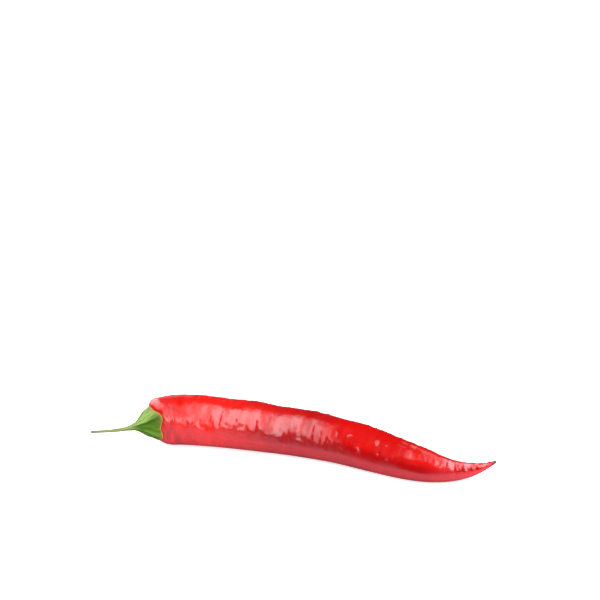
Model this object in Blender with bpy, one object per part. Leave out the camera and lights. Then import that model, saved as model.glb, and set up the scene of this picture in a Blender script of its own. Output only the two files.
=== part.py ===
"""A red finger chilli, as picked, lying on its belly: a red pod and a green stalk.

Metres, +Z up. The chilli lies along X, with the stalk's cut end at -X and the pod's tip at +X. The origin
is the middle of the chilli's footprint, on the surface that it lies on.
"""

import math

import bmesh
import bpy
import numpy as np
from mathutils import Vector

MM = 0.001

# Driving dimensions: the pod
POD_RADIUS = 9.55 * MM
SHOULDER_LENGTH = 11.0 * MM
SHOULDER_SQUARENESS = 3.0
SHOULDER_LEAN = 4.6 * MM  # how much further back the shoulder stands on its upper side
SHOULDER_LEAN_ANGLE = math.radians(60)
SHOULDER_LEAN_LENGTH = 8.0 * MM
POD_GIRTH = (  # share of the pod's length, and share of its largest radius there
    (0.00, 1.000),
    (0.12, 1.000),
    (0.25, 0.985),
    (0.43, 0.935),
    (0.55, 0.890),
    (0.73, 0.757),
    (0.81, 0.610),
    (0.90, 0.350),
    (0.96, 0.175),
    (1.00, 0.045),
)
FOLD_COUNT = 5  # folds that run from the calyx and fade along the pod
FOLD_TURN = 0.8
FOLD_DEPTH = 0.30 * MM
FOLD_LENGTH = 16.0 * MM
LOBE_COUNT = 3
LOBE_TURN = 0.4
LOBE_DEPTH = 0.15 * MM
SWELL_DEPTH = 0.12 * MM
SWELL_LENGTH = 21.0 * MM
BELLY_CALM = 0.7  # how high on the pod's side the relief reaches its full depth

# Driving dimensions: the stalk, which is the calyx cap and the stem
CALYX_RADIUS = 4.8 * MM  # on the side where the calyx is shortest
CALYX_DROOP = 0.8 * MM  # how much further over the pod the calyx reaches on its longest side
CALYX_DROOP_ANGLE = math.radians(150)
CALYX_SAG = 0.6 * MM  # and how much further underneath
CALYX_LIP = 0.7 * MM
CALYX_LIP_ROUNDING = 0.2 * MM
CALYX_LIP_BLEND = 5.0 * MM  # how far behind the lip the calyx starts to follow the lip's uneven edge
RIB_COUNT = 5
RIB_TURN = math.radians(30)
RIB_HEIGHT = 0.7 * MM  # from the valley between two ribs to a rib's top
RIB_REACH = 9.0 * MM
TOOTH_LENGTH = 1.55 * MM  # of the tooth that a rib ends in, on the longest side
STEM_LENGTH = 23.5 * MM
STALK_GIRTH = (  # distance behind the calyx lip, and radius there
    (0.0 * MM, 5.60 * MM),
    (1.4 * MM, 4.90 * MM),
    (3.2 * MM, 3.80 * MM),
    (5.4 * MM, 2.35 * MM),
    (7.6 * MM, 1.40 * MM),
    (10.0 * MM, 0.90 * MM),
    (14.0 * MM, 0.64 * MM),
    (19.0 * MM, 0.52 * MM),
    (23.5 * MM, 0.56 * MM),
)
GROWTH_GAP = 0.3 * MM  # between the calyx's underside and the pod

# The line through the middle of the stalk and the pod, seen from above, from the cut end to the tip
ROUTE = (
    (-77.0 * MM, 0.3 * MM),
    (-70.5 * MM, 1.0 * MM),
    (-62.6 * MM, 3.5 * MM),
    (-55.6 * MM, 7.0 * MM),
    (-48.0 * MM, 9.4 * MM),
    (-40.0 * MM, 9.2 * MM),
    (-22.5 * MM, 6.2 * MM),
    (0.0 * MM, 0.8 * MM),
    (15.0 * MM, -4.4 * MM),
    (36.4 * MM, -14.7 * MM),
    (47.0 * MM, -18.0 * MM),
    (57.9 * MM, -18.0 * MM),
    (71.2 * MM, -15.0 * MM),
)
POD_BASE_POINT = 3  # the route's point at the middle of the pod's base
TIP_LIFT = 5.5 * MM
TIP_LIFT_LENGTH = 27.0 * MM
BELLY_FLAT_DEPTH = 0.3 * MM  # how much of the pod's underside is pressed flat
TABLE_CUTTER_SIZE = (300 * MM, 200 * MM, 10 * MM)

# How finely the two solids are drawn
SPINE_SAMPLES = 600
POD_AROUND = 36
POD_RINGS = 76
STALK_AROUND = 36
STALK_RINGS = 38
END_CROWDING = 0.55  # how much closer the pod's rings stand at its two ends
CUT_END_SHARE = 0.06  # of the stalk's rings lie on the cut end, up to this share
STALK_SIDE_SHARE = 0.62  # up to here on its outside, from the cut end to the lip
STALK_LIP_SHARE = 0.70  # up to here round the lip, and the rest under the cap
SLOPE_STEP = 0.05 * MM
POLE_SHARE = 1e-4

RED = (0.62, 0.010, 0.008, 1.0)
GREEN = (0.115, 0.245, 0.030, 1.0)
POD_ROUGHNESS = 0.22
STALK_ROUGHNESS = 0.5


class SmoothCurve:
    """The natural cubic curve through a row of stations."""

    def __init__(self, places, values):
        self.places = np.array(places, float)
        self.values = np.array(values, float)
        steps = np.diff(self.places)
        slopes = (np.diff(self.values, axis=0).T / steps).T
        system = np.eye(len(places))
        wanted = np.zeros_like(self.values)
        for i in range(1, len(places) - 1):
            system[i, i - 1 : i + 2] = steps[i - 1], 2 * (steps[i - 1] + steps[i]), steps[i]
            wanted[i] = 6 * (slopes[i] - slopes[i - 1])
        self.bends = np.linalg.solve(system, wanted)

    def at(self, place):
        i = int(np.clip(np.searchsorted(self.places, place) - 1, 0, len(self.places) - 2))
        step = self.places[i + 1] - self.places[i]
        after = (place - self.places[i]) / step
        before = 1 - after
        curve = (before**3 - before) * self.bends[i] + (after**3 - after) * self.bends[i + 1]
        return before * self.values[i] + after * self.values[i + 1] + curve * step**2 / 6


def lengths_along(points):
    """The distance from the first point to each point, along the line through them."""
    return np.concatenate([[0.0], np.cumsum(np.linalg.norm(np.diff(points, axis=0), axis=1))])


class Spine:
    """The line through the middle of the chilli. Distance 0 is the pod's base, and the stalk is below 0."""

    def __init__(self):
        route = np.array(ROUTE)
        marks = lengths_along(route)
        curve = SmoothCurve(marks, route)
        fine_marks = np.linspace(0, marks[-1], SPINE_SAMPLES)
        plan = np.array([curve.at(mark) for mark in fine_marks])
        distances = lengths_along(plan)
        self.distances = distances - np.interp(marks[POD_BASE_POINT], fine_marks, distances)
        self.pod_length = self.distances[-1]
        heights = [self.height(distance) for distance in self.distances]
        self.points = np.column_stack([plan, heights])
        self.directions = np.gradient(self.points, self.distances, axis=0)

    def girth(self, distance):
        """The pod's radius there, without its rounded shoulder."""
        share = np.clip(distance / self.pod_length, 0, 1)
        return POD_RADIUS * float(POD_CURVE.at(share))

    def height(self, distance):
        """The belly lies flat, and the tip curls up off the surface."""
        lifted = max(0.0, distance - (self.pod_length - TIP_LIFT_LENGTH)) / TIP_LIFT_LENGTH
        return self.girth(distance) - BELLY_FLAT_DEPTH + TIP_LIFT * lifted**3

    def place(self, distance, radius, angle):
        """The point that far along, that far out, and turned that angle from the +Y side over the top."""
        centre = Vector([np.interp(distance, self.distances, self.points[:, i]) for i in range(3)])
        along = Vector([np.interp(distance, self.distances, self.directions[:, i]) for i in range(3)])
        beyond = distance - float(np.clip(distance, self.distances[0], self.distances[-1]))
        across = Vector((0, 0, 1)).cross(along).normalized()
        up = along.cross(across).normalized()
        outward = across * math.cos(angle) + up * math.sin(angle)
        return centre + along * beyond + outward * radius


POD_CURVE = SmoothCurve([share for share, _ in POD_GIRTH], [radius for _, radius in POD_GIRTH])
STALK_CURVE = SmoothCurve([back for back, _ in STALK_GIRTH], [radius for _, radius in STALK_GIRTH])


def smooth_step(value):
    value = min(max(value, 0.0), 1.0)
    return value * value * (3 - 2 * value)


def shoulder(distance):
    """How full the pod's rounded shoulder is, from 0 at its base to 1 where it is as wide as the body."""
    short = 1 - min(max(distance / SHOULDER_LENGTH, 0.0), 1.0)
    return (1 - short**SHOULDER_SQUARENESS) ** (1 / SHOULDER_SQUARENESS)


def pod_relief(distance, angle):
    """Folds that run from the calyx, faint lobes and swells. The belly has none, where the pod rests."""
    off_belly = smooth_step((math.sin(angle) + 1) / BELLY_CALM)
    folds = FOLD_DEPTH * math.exp(-distance / FOLD_LENGTH) * math.cos(FOLD_COUNT * angle + FOLD_TURN)
    lobes = LOBE_DEPTH * math.cos(LOBE_COUNT * angle + LOBE_TURN)
    swells = SWELL_DEPTH * math.sin(2 * math.pi * distance / SWELL_LENGTH + 2 * angle)
    return (folds + lobes + swells) * off_belly


def pod_surface(spine, distance, angle):
    girth = spine.girth(distance)
    return shoulder(distance) * (girth + pod_relief(distance, angle) * girth / POD_RADIUS)


def leaned(distance, radius, angle):
    """The same point with the lean of the shoulder and of the calyx on it."""
    upper_side = ((1 + math.cos(angle - SHOULDER_LEAN_ANGLE)) / 2) ** 2
    fade = math.exp(-max(distance, 0.0) / SHOULDER_LEAN_LENGTH)
    lean = SHOULDER_LEAN * upper_side * fade * (radius / POD_RADIUS) ** 3
    return distance - lean, radius


def pod_skin(spine, share, angle):
    crowded = (1 - math.cos(math.pi * share)) / 2
    distance = spine.pod_length * (END_CROWDING * crowded + (1 - END_CROWDING) * share)
    return distance, pod_surface(spine, distance, angle)


def over_pod(spine, distance, angle, clearance):
    """The point that much clear of the pod's shoulder, straight out from its surface."""
    before = max(distance - SLOPE_STEP, 0.0)
    after = distance + SLOPE_STEP
    rise = pod_surface(spine, after, angle) - pod_surface(spine, before, angle)
    run = after - before
    steep = math.hypot(rise, run)
    radius = pod_surface(spine, distance, angle)
    return distance - clearance * rise / steep, radius + clearance * run / steep


def ribbing(angle):
    """1 on the calyx's ribs, and 0 halfway between them."""
    return (1 + math.cos(RIB_COUNT * angle + RIB_TURN)) / 2


def rim_distance(angle):
    """How far along the pod the calyx rim lies: furthest where it droops, underneath, and at its teeth."""
    reach = (CALYX_RADIUS / POD_RADIUS) ** SHOULDER_SQUARENESS
    shortest = SHOULDER_LENGTH * (1 - (1 - reach) ** (1 / SHOULDER_SQUARENESS))
    drooping = ((1 + math.cos(angle - CALYX_DROOP_ANGLE)) / 2) ** 2
    sagging = ((1 - math.sin(angle)) / 2) ** 2
    tooth = TOOTH_LENGTH * ribbing(angle) * drooping**2
    return shortest + CALYX_DROOP * drooping + CALYX_SAG * sagging + tooth


def stalk_side(forward, angle, lip_place, lip_radius):
    """The stem and the outside of the calyx, from the cut end, forward 0, to the lip, forward 1."""
    length = lip_place + STEM_LENGTH
    distance = length * math.sin(forward * math.pi / 2) - STEM_LENGTH
    back = (lip_place - distance) * STEM_LENGTH / length
    near_lip = smooth_step(1 - back / CALYX_LIP_BLEND)
    rib = RIB_HEIGHT * (ribbing(angle) - 0.5) * smooth_step(1 - back / RIB_REACH)
    lip_unevenness = lip_radius - STALK_GIRTH[0][1]
    return distance, float(STALK_CURVE.at(back)) + rib * (1 - near_lip) + lip_unevenness * near_lip


def stalk_skin(spine, share, angle):
    """The stalk's outline: the middle of its cut end, the stem, the calyx, its lip, and under the cap."""
    if share <= CUT_END_SHARE:
        return -STEM_LENGTH, STALK_GIRTH[-1][1] * share / CUT_END_SHARE
    rim = rim_distance(angle)
    if share <= STALK_SIDE_SHARE:
        forward = (share - CUT_END_SHARE) / (STALK_SIDE_SHARE - CUT_END_SHARE)
        lip_place, lip_radius = over_pod(spine, rim, angle, GROWTH_GAP + CALYX_LIP)
        return stalk_side(forward, angle, lip_place, lip_radius)
    if share <= STALK_LIP_SHARE:
        inward = (share - STALK_SIDE_SHARE) / (STALK_LIP_SHARE - STALK_SIDE_SHARE)
        bulge = CALYX_LIP_ROUNDING * math.sin(math.pi * inward)
        return over_pod(spine, rim + bulge, angle, GROWTH_GAP + CALYX_LIP * (1 - inward))
    under = (1 - share) / (1 - STALK_LIP_SHARE)
    return over_pod(spine, rim * under**2, angle, GROWTH_GAP)


def grown_solid(name, around, rings, skin, spine, collection):
    """A round solid that grows along the spine: skin gives the distance and the radius of each point."""
    form = bmesh.new()
    bmesh.ops.create_uvsphere(form, u_segments=around, v_segments=rings, radius=1.0)
    for vertex in form.verts:
        share = math.acos(min(max(-vertex.co.z, -1.0), 1.0)) / math.pi
        angle = math.atan2(vertex.co.y, vertex.co.x)
        distance, radius = skin(spine, share, angle)
        if not POLE_SHARE < share < 1 - POLE_SHARE:
            radius = 0.0
        vertex.co = spine.place(*leaned(distance, radius, angle), angle)
    mesh = bpy.data.meshes.new(name)
    form.to_mesh(mesh)
    form.free()
    mesh.shade_smooth()
    solid = bpy.data.objects.new(name, mesh)
    collection.objects.link(solid)
    return solid


def skin_material(name, colour, roughness):
    material = bpy.data.materials.new(name)
    material.use_nodes = True
    shader = material.node_tree.nodes["Principled BSDF"]
    shader.inputs["Base Color"].default_value = colour
    shader.inputs["Roughness"].default_value = roughness
    shader.inputs["Metallic"].default_value = 0.0
    return material


def press_belly_flat(pod, collection):
    """Cuts the pod's underside flat at z = 0, where it lies on the table."""
    bpy.ops.mesh.primitive_cube_add(size=1.0)
    table = bpy.context.object
    table.name = "table_cutter"
    table.scale = TABLE_CUTTER_SIZE
    table.location = (0, 0, -TABLE_CUTTER_SIZE[2] / 2)
    for holder in list(table.users_collection):
        holder.objects.unlink(table)
    collection.objects.link(table)
    table.hide_render = True
    table.display_type = "WIRE"
    cut = pod.modifiers.new("belly_flat", "BOOLEAN")
    cut.operation = "DIFFERENCE"
    cut.solver = "EXACT"
    cut.object = table


def centre_footprint(solids):
    """Moves the solids so that the middle of their footprint is at the origin."""
    points = np.array([vertex.co for solid in solids for vertex in solid.data.vertices])
    middle = (points.min(axis=0) + points.max(axis=0)) / 2
    for solid in solids:
        solid.location = (-middle[0], -middle[1], 0)


def build():
    for old in list(bpy.data.objects):
        bpy.data.objects.remove(old, do_unlink=True)
    chilli = bpy.data.collections.new("chilli_pepper")
    cutters = bpy.data.collections.new("cutters")
    for collection in (chilli, cutters):
        bpy.context.scene.collection.children.link(collection)

    spine = Spine()
    pod = grown_solid("pod", POD_AROUND, POD_RINGS, pod_skin, spine, chilli)
    pod.data.materials.append(skin_material("pod_red", RED, POD_ROUGHNESS))
    stalk = grown_solid("stalk", STALK_AROUND, STALK_RINGS, stalk_skin, spine, chilli)
    stalk.data.materials.append(skin_material("stalk_green", GREEN, STALK_ROUGHNESS))
    centre_footprint([pod, stalk])
    press_belly_flat(pod, cutters)


build()
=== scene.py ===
"""The look of a red finger chilli that lies on its belly: its skin, its calyx and its stem.

The forms follow the same rules as the CAD part's, drawn much finer and with the skin's relief on them.
Metres, +Z up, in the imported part's own frame.
"""

import math

import bmesh
import bpy
import numpy as np
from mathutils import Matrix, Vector


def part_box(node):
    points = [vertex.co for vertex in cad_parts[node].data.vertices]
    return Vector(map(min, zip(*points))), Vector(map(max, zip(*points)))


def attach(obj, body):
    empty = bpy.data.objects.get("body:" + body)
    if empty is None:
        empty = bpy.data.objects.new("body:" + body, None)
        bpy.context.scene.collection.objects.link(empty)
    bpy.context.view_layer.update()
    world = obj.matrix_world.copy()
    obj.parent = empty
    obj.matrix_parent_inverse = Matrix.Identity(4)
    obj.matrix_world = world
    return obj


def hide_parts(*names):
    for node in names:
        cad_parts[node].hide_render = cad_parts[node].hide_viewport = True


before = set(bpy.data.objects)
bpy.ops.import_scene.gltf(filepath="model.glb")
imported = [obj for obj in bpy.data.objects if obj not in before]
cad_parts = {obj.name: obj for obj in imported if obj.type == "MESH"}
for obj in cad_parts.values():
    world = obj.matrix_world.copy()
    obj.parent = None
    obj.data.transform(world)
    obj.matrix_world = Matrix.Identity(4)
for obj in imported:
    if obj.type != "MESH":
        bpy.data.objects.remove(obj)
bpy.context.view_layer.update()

MM = 0.001

# Driving dimensions of the pod, as in the CAD part
POD_RADIUS = 9.55 * MM
SHOULDER_LENGTH = 11.0 * MM
SHOULDER_SQUARENESS = 3.0
SHOULDER_LEAN = 4.6 * MM
SHOULDER_LEAN_ANGLE = math.radians(60)
SHOULDER_LEAN_LENGTH = 8.0 * MM
POD_GIRTH = (  # share of the pod's length, and share of its largest radius there
    (0.00, 1.000),
    (0.12, 1.000),
    (0.25, 0.985),
    (0.43, 0.935),
    (0.55, 0.890),
    (0.73, 0.757),
    (0.81, 0.610),
    (0.90, 0.350),
    (0.96, 0.175),
    (1.00, 0.045),
)
FOLD_COUNT = 5
FOLD_TURN = 0.8
FOLD_DEPTH = 0.30 * MM
FOLD_LENGTH = 16.0 * MM
LOBE_COUNT = 3
LOBE_TURN = 0.4
LOBE_DEPTH = 0.15 * MM
SWELL_DEPTH = 0.12 * MM
SWELL_LENGTH = 21.0 * MM
BELLY_CALM = 0.7

# Driving dimensions of the stalk, which is the calyx cap and the stem
CALYX_RADIUS = 4.8 * MM
CALYX_DROOP = 0.8 * MM
CALYX_DROOP_ANGLE = math.radians(150)
CALYX_SAG = 0.6 * MM
CALYX_LIP = 0.55 * MM
CALYX_LIP_ROUNDING = 0.2 * MM
CALYX_LIP_BLEND = 5.0 * MM
CALYX_GAP = 0.05 * MM
RIB_COUNT = 5
RIB_TURN = math.radians(30)
TOOTH_LENGTH = 1.55 * MM
STEM_LENGTH = 23.5 * MM
STALK_GIRTH = (  # distance behind the calyx lip, and radius there
    (0.0 * MM, 5.60 * MM),
    (1.4 * MM, 4.90 * MM),
    (3.2 * MM, 3.80 * MM),
    (5.4 * MM, 2.35 * MM),
    (7.6 * MM, 1.40 * MM),
    (10.0 * MM, 0.90 * MM),
    (14.0 * MM, 0.64 * MM),
    (19.0 * MM, 0.52 * MM),
    (23.5 * MM, 0.56 * MM),
)

# The line through the middle of the stalk and the pod, seen from above, from the cut end to the tip
ROUTE = (
    (-77.0 * MM, 0.3 * MM),
    (-70.5 * MM, 1.0 * MM),
    (-62.6 * MM, 3.5 * MM),
    (-55.6 * MM, 7.0 * MM),
    (-48.0 * MM, 9.4 * MM),
    (-40.0 * MM, 9.2 * MM),
    (-22.5 * MM, 6.2 * MM),
    (0.0 * MM, 0.8 * MM),
    (15.0 * MM, -4.4 * MM),
    (36.4 * MM, -14.7 * MM),
    (47.0 * MM, -18.0 * MM),
    (57.9 * MM, -18.0 * MM),
    (71.2 * MM, -15.0 * MM),
)
POD_BASE_POINT = 3
TIP_LIFT = 5.5 * MM
TIP_LIFT_LENGTH = 27.0 * MM
BELLY_FLAT_DEPTH = 0.3 * MM

# How finely the pieces are drawn
SPINE_SAMPLES = 600
POD_AROUND = 240
POD_RINGS = 400
STALK_AROUND = 150
STALK_RINGS = 320
TIP_SCAR_AROUND = 36
TIP_SCAR_RINGS = 24
CUT_AROUND = 48
CUT_RINGS = 40
END_CROWDING = 0.4
CUT_END_SHARE = 0.02
STALK_SIDE_SHARE = 0.86
STALK_LIP_SHARE = 0.92
SLOPE_STEP = 0.05 * MM
POLE_SHARE = 1e-4  # so near its ends a piece is closed to a point

# The photograph's view
FRAME_PIXELS = 600
PIXEL_SIZE = 0.3725 * MM  # what one pixel of the photograph covers on the chilli
CAMERA_PITCH = math.radians(25)
LENS = 85.0
SENSOR = 36.0
ANCHOR = Vector((3.33, 2.14, 9.0)) * MM  # a point in the middle of the pod
ANCHOR_PIXEL = (300.0, 432.8)  # where the photograph shows that point


class SmoothCurve:
    """The natural cubic curve through a row of stations."""

    def __init__(self, places, values):
        self.places = np.array(places, float)
        self.values = np.array(values, float)
        steps = np.diff(self.places)
        slopes = np.diff(self.values) / steps
        system = np.eye(len(places))
        wanted = np.zeros_like(self.values)
        for i in range(1, len(places) - 1):
            system[i, i - 1 : i + 2] = steps[i - 1], 2 * (steps[i - 1] + steps[i]), steps[i]
            wanted[i] = 6 * (slopes[i] - slopes[i - 1])
        self.bends = np.linalg.solve(system, wanted)

    def at(self, place):
        i = np.clip(np.searchsorted(self.places, place) - 1, 0, len(self.places) - 2)
        step = self.places[i + 1] - self.places[i]
        after = (place - self.places[i]) / step
        before = 1 - after
        curve = (before**3 - before) * self.bends[i] + (after**3 - after) * self.bends[i + 1]
        return before * self.values[i] + after * self.values[i + 1] + curve * step**2 / 6


POD_CURVE = SmoothCurve([share for share, _ in POD_GIRTH], [radius for _, radius in POD_GIRTH])
STALK_CURVE = SmoothCurve([back for back, _ in STALK_GIRTH], [radius for _, radius in STALK_GIRTH])


def smooth_step(value):
    value = np.clip(value, 0, 1)
    return value * value * (3 - 2 * value)


def lengths_along(points):
    """The distance from the first point to each point, along the line through them."""
    return np.concatenate([[0.0], np.cumsum(np.linalg.norm(np.diff(points, axis=0), axis=1))])


class Spine:
    """The line through the middle of the chilli. Distance 0 is the pod's base, and the stalk is below 0."""

    def __init__(self):
        route = np.array(ROUTE)
        marks = lengths_along(route)
        fine_marks = np.linspace(0, marks[-1], SPINE_SAMPLES)
        plan = np.column_stack([SmoothCurve(marks, route[:, axis]).at(fine_marks) for axis in (0, 1)])
        distances = lengths_along(plan)
        self.distances = distances - np.interp(marks[POD_BASE_POINT], fine_marks, distances)
        self.pod_length = self.distances[-1]
        self.points = np.column_stack([plan, self.height(self.distances)])
        self.directions = np.gradient(self.points, self.distances, axis=0)

    def girth(self, distance):
        """The pod's radius there, without its rounded shoulder."""
        return POD_RADIUS * POD_CURVE.at(np.clip(distance / self.pod_length, 0, 1))

    def height(self, distance):
        """The belly lies flat, and the tip curls up off the surface."""
        lifted = np.maximum(0.0, distance - (self.pod_length - TIP_LIFT_LENGTH)) / TIP_LIFT_LENGTH
        return self.girth(distance) - BELLY_FLAT_DEPTH + TIP_LIFT * lifted**3

    def place(self, distance, radius, angle):
        """The points that far along, that far out, and turned that angle from the +Y side over the top."""
        centre = self.along_spine(self.points, distance)
        along = self.along_spine(self.directions, distance)
        beyond = distance - np.clip(distance, self.distances[0], self.distances[-1])
        across = unit(np.cross((0, 0, 1), along))
        up = unit(np.cross(along, across))
        outward = across * np.cos(angle)[:, None] + up * np.sin(angle)[:, None]
        return centre + along * beyond[:, None] + outward * radius[:, None]

    def along_spine(self, values, distance):
        return np.column_stack([np.interp(distance, self.distances, values[:, axis]) for axis in range(3)])


def unit(vectors):
    return vectors / np.linalg.norm(vectors, axis=1, keepdims=True)


SPINE = Spine()


def shoulder(distance):
    """How full the pod's rounded shoulder is, from 0 at its base to 1 where it is as wide as the body."""
    short = 1 - np.clip(distance / SHOULDER_LENGTH, 0, 1)
    return (1 - short**SHOULDER_SQUARENESS) ** (1 / SHOULDER_SQUARENESS)


def pod_relief(distance, angle):
    """Folds that run from the calyx, faint lobes and swells. The belly has none, where the pod rests."""
    off_belly = smooth_step((np.sin(angle) + 1) / BELLY_CALM)
    folds = FOLD_DEPTH * np.exp(-distance / FOLD_LENGTH) * np.cos(FOLD_COUNT * angle + FOLD_TURN)
    lobes = LOBE_DEPTH * np.cos(LOBE_COUNT * angle + LOBE_TURN)
    swells = SWELL_DEPTH * np.sin(2 * math.pi * distance / SWELL_LENGTH + 2 * angle)
    return (folds + lobes + swells) * off_belly


def pod_surface(distance, angle):
    girth = SPINE.girth(distance)
    return shoulder(distance) * (girth + pod_relief(distance, angle) * girth / POD_RADIUS)


def leaned(distance, radius, angle):
    """The same points with the lean of the shoulder and of the calyx on them."""
    upper_side = ((1 + np.cos(angle - SHOULDER_LEAN_ANGLE)) / 2) ** 2
    fade = np.exp(-np.maximum(distance, 0.0) / SHOULDER_LEAN_LENGTH)
    return distance - SHOULDER_LEAN * upper_side * fade * (radius / POD_RADIUS) ** 3


def pod_skin(share, angle):
    crowded = (1 - np.cos(math.pi * share)) / 2
    distance = SPINE.pod_length * (END_CROWDING * crowded + (1 - END_CROWDING) * share)
    return distance, pod_surface(distance, angle)


def over_pod(distance, angle, clearance):
    """The points that much clear of the pod's shoulder, straight out from its surface."""
    before = np.maximum(distance - SLOPE_STEP, 0.0)
    after = distance + SLOPE_STEP
    rise = pod_surface(after, angle) - pod_surface(before, angle)
    run = after - before
    steep = np.hypot(rise, run)
    radius = pod_surface(distance, angle)
    return distance - clearance * rise / steep, radius + clearance * run / steep


def ribbing(angle):
    """1 on the calyx's ribs, and 0 halfway between them."""
    return (1 + np.cos(RIB_COUNT * angle + RIB_TURN)) / 2


def rim_distance(angle):
    """How far along the pod the calyx rim lies: furthest where it droops, underneath, and at its teeth."""
    reach = (CALYX_RADIUS / POD_RADIUS) ** SHOULDER_SQUARENESS
    shortest = SHOULDER_LENGTH * (1 - (1 - reach) ** (1 / SHOULDER_SQUARENESS))
    drooping = ((1 + np.cos(angle - CALYX_DROOP_ANGLE)) / 2) ** 2
    sagging = ((1 - np.sin(angle)) / 2) ** 2
    tooth = TOOTH_LENGTH * ribbing(angle) * drooping**2
    return shortest + CALYX_DROOP * drooping + CALYX_SAG * sagging + tooth


def stalk_side(forward, lip_place, lip_radius):
    """The stem and the outside of the calyx, from the cut end, forward 0, to the lip, forward 1."""
    length = lip_place + STEM_LENGTH
    distance = length * np.sin(forward * math.pi / 2) - STEM_LENGTH
    back = (lip_place - distance) * STEM_LENGTH / length
    near_lip = smooth_step(1 - back / CALYX_LIP_BLEND)
    lip_unevenness = lip_radius - STALK_GIRTH[0][1]
    return distance, STALK_CURVE.at(back) + lip_unevenness * near_lip


def stalk_skin(share, angle):
    """The stalk's outline: the middle of its cut end, the stem, the calyx, its lip, and under the cap."""
    rim = rim_distance(angle)
    lip_place, lip_radius = over_pod(rim, angle, CALYX_GAP + CALYX_LIP)
    forward = np.clip((share - CUT_END_SHARE) / (STALK_SIDE_SHARE - CUT_END_SHARE), 0, 1)
    inward = np.clip((share - STALK_SIDE_SHARE) / (STALK_LIP_SHARE - STALK_SIDE_SHARE), 0, 1)
    bulge = CALYX_LIP_ROUNDING * np.sin(math.pi * inward)
    under = np.clip((1 - share) / (1 - STALK_LIP_SHARE), 0, 1)
    stretches = (
        (np.full_like(share, -STEM_LENGTH), STALK_GIRTH[-1][1] * share / CUT_END_SHARE),
        stalk_side(forward, lip_place, lip_radius),
        over_pod(rim + bulge, angle, CALYX_GAP + CALYX_LIP * (1 - inward)),
        over_pod(rim * under**2, angle, CALYX_GAP),
    )
    upto = [share <= CUT_END_SHARE, share <= STALK_SIDE_SHARE, share <= STALK_LIP_SHARE]
    return [np.select(upto, [stretch[i] for stretch in stretches[:3]], stretches[3][i]) for i in (0, 1)]


def points_of(mesh):
    places = np.empty(len(mesh.vertices) * 3)
    mesh.vertices.foreach_get("co", places)
    return places.reshape(-1, 3)


def set_points(mesh, places):
    mesh.vertices.foreach_set("co", places.ravel())
    mesh.update()


def mark_points(mesh, name, values):
    """Keeps a number or a vector for each point, which the relief and the materials read."""
    kind, field = ("FLOAT_VECTOR", "vector") if values.ndim == 2 else ("FLOAT", "value")
    mesh.attributes.new(name, kind, "POINT").data.foreach_set(field, values.ravel())


def grown_piece(name, around, rings, skin):
    """A round piece that grows along the spine. Its points also keep their place on the straight chilli."""
    form = bmesh.new()
    bmesh.ops.create_uvsphere(form, u_segments=around, v_segments=rings, radius=1.0)
    form.verts.index_update()
    places = [vertex.co for vertex in form.verts]
    # Blender gives the sphere's faces in another order each run, and sorted they always come in the same one
    faces = sorted([vertex.index for vertex in face.verts] for face in form.faces)
    mesh = bpy.data.meshes.new(name)
    mesh.from_pydata(places, [], faces)
    form.free()
    ball = points_of(mesh)
    share = np.arccos(np.clip(-ball[:, 2], -1, 1)) / math.pi
    angle = np.arctan2(ball[:, 1], ball[:, 0])
    distance, radius = skin(share, angle)
    radius = np.where((share > POLE_SHARE) & (share < 1 - POLE_SHARE), radius, 0.0)
    set_points(mesh, SPINE.place(leaned(distance, radius, angle), radius, angle))
    mark_points(mesh, "skin", np.column_stack([distance, radius * np.cos(angle), radius * np.sin(angle)]))
    mark_points(mesh, "share", share)
    mesh.shade_smooth()
    piece = bpy.data.objects.new(name, mesh)
    bpy.context.scene.collection.objects.link(piece)
    return piece


TIP_SCAR_LENGTH = 1.7 * MM
TIP_SCAR_PROUD = 0.05 * MM
TIP_SCAR_POINT = 0.35 * MM
TIP_SCAR_LOBES = 5
TIP_SCAR_RAGGEDNESS = 0.12
TIP_SCAR_TWIST = 9.0  # how far the lobes turn from end to end, in radians of their wave
TIP_SCAR_ROUNDING = 0.25


def tip_scar_skin(share, angle):
    """The dried remains of the flower, a dark cap on the last stretch of the tip."""
    distance = SPINE.pod_length + TIP_SCAR_POINT - TIP_SCAR_LENGTH * (1 - share)
    ragged = 1 + TIP_SCAR_RAGGEDNESS * np.cos(TIP_SCAR_LOBES * angle + TIP_SCAR_TWIST * share)
    closing = np.clip(4 * share * (1 - share), 0, 1) ** TIP_SCAR_ROUNDING
    return distance, (SPINE.girth(distance) + TIP_SCAR_PROUD) * ragged * closing


CUT_FLARE = 1.14
CUT_WAVES = ((3, 0.07, 0.0), (7, 0.04, 1.0))  # of the rim: how many there are, how deep and how far turned
CUT_ROUNDING = 0.7
CUT_DEPTH = 0.25 * MM
CUT_BOWL = 1.3  # how wide the sunken pith is
CUT_PROUD = 0.12 * MM


def stem_cut_skin(share, angle):
    """The cut end of the stem: a slightly flared, uneven rim round a sunken pith."""
    uneven = 1 + sum(depth * np.cos(count * angle + turn) for count, depth, turn in CUT_WAVES)
    rim = STALK_GIRTH[-1][1] * CUT_FLARE * uneven
    radius = rim * np.sin(math.pi * share) ** CUT_ROUNDING
    outer_face = CUT_DEPTH * smooth_step(CUT_BOWL * (1 - radius / rim)) - STEM_LENGTH - CUT_PROUD
    inner_face = CUT_PROUD - STEM_LENGTH
    inward = smooth_step(4 * share - 2)
    return outer_face + (inner_face - outer_face) * inward, radius


def settle_on_frame(pieces, lead, node):
    """Moves the pieces' points so that the lead piece's footprint has the same middle as the CAD node's."""
    low, high = (np.array(corner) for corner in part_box(node))
    places = points_of(lead.data)
    shift = (low + high) / 2 - (places.min(axis=0) + places.max(axis=0)) / 2
    shift[2] = 0
    for piece in pieces:
        set_points(piece.data, points_of(piece.data) + shift)


def press_on_floor(piece):
    """Presses every point that is below the floor onto it."""
    places = points_of(piece.data)
    places[:, 2] = np.maximum(places[:, 2], 0.0)
    set_points(piece.data, places)


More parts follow.
